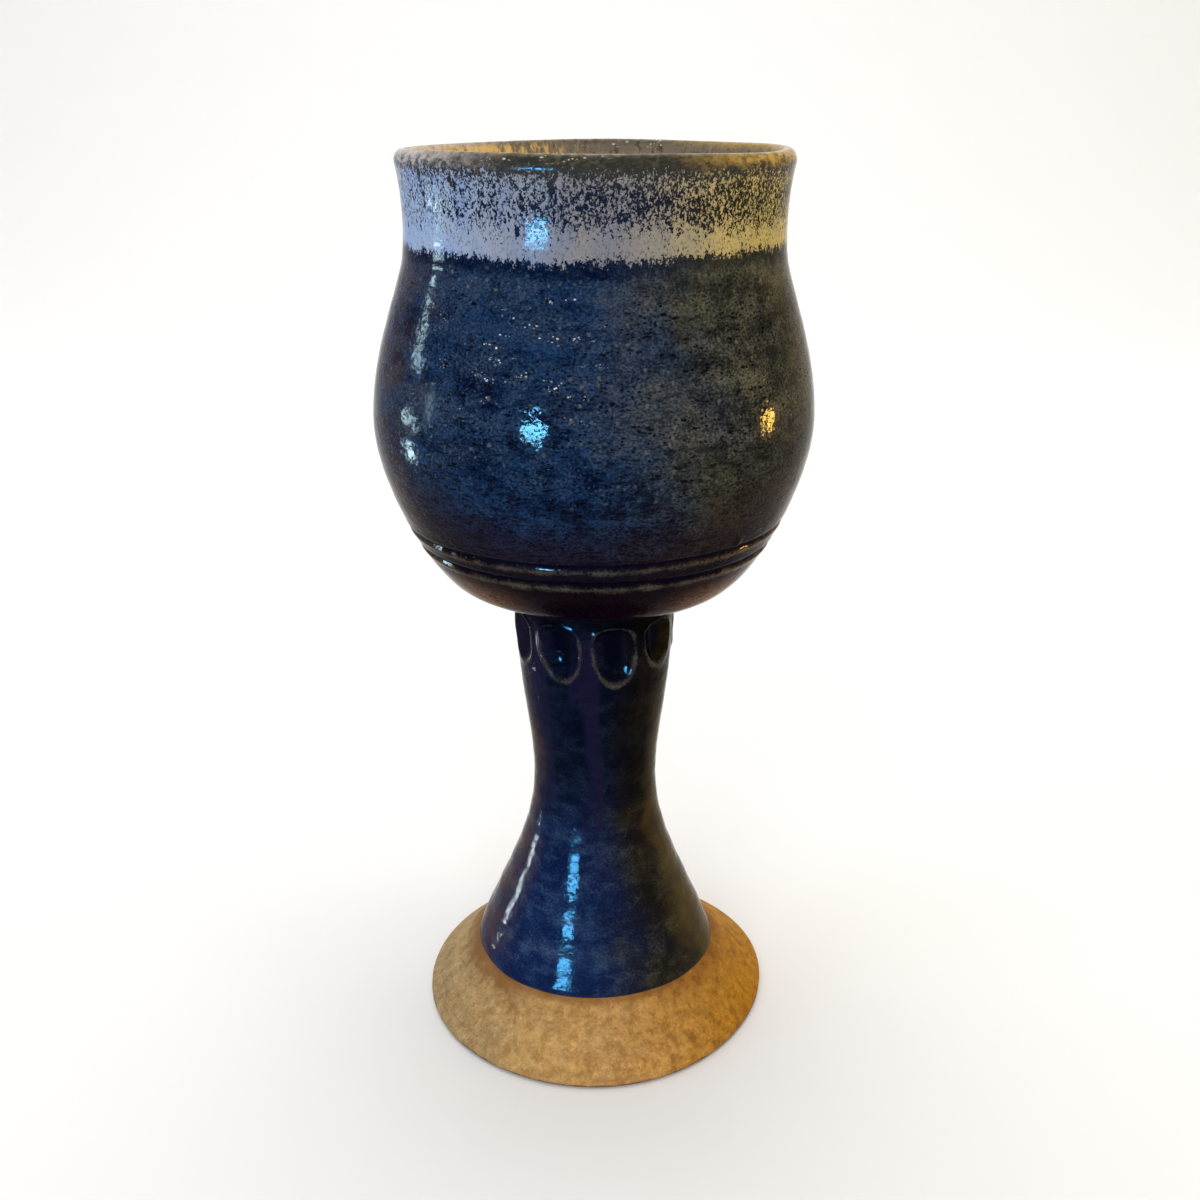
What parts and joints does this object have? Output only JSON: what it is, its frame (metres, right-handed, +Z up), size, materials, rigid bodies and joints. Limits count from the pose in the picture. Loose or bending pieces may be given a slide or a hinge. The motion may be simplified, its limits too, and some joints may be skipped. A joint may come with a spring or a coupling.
{
  "type": "stoneware goblet",
  "caption": "Hand-thrown stoneware goblet: full-bellied bowl on a hollow trumpet stem with pressed scallops and a flared bare-clay foot, for drinking.",
  "frame": {"origin": "middle of the foot's resting ring, on the surface that the goblet stands on", "axes": "+Z up along the goblet's axis, -Y towards the side that the picture shows, +X to its right"},
  "size_m": [0.0826, 0.0826, 0.175],
  "materials": {
    "stoneware_clay": "unglazed, sandy and matt",
    "dry_slip": "unglazed and matt",
    "blue_glaze": "glossy mottled dark blue, breaking to grey-ochre on edges",
    "white_glaze": "satin lavender white with dark speckles",
    "tan_glaze": "glossy olive brown to tan"
  },
  "bodies": {
    "root": {"bowl": "stoneware_clay", "stem": "stoneware_clay", "luting_slip": "dry_slip", "bowl_glaze": "blue_glaze", "rim_band_glaze": "white_glaze", "liner_glaze": "tan_glaze", "stem_glaze": "blue_glaze"}
  },
  "joints": []
}
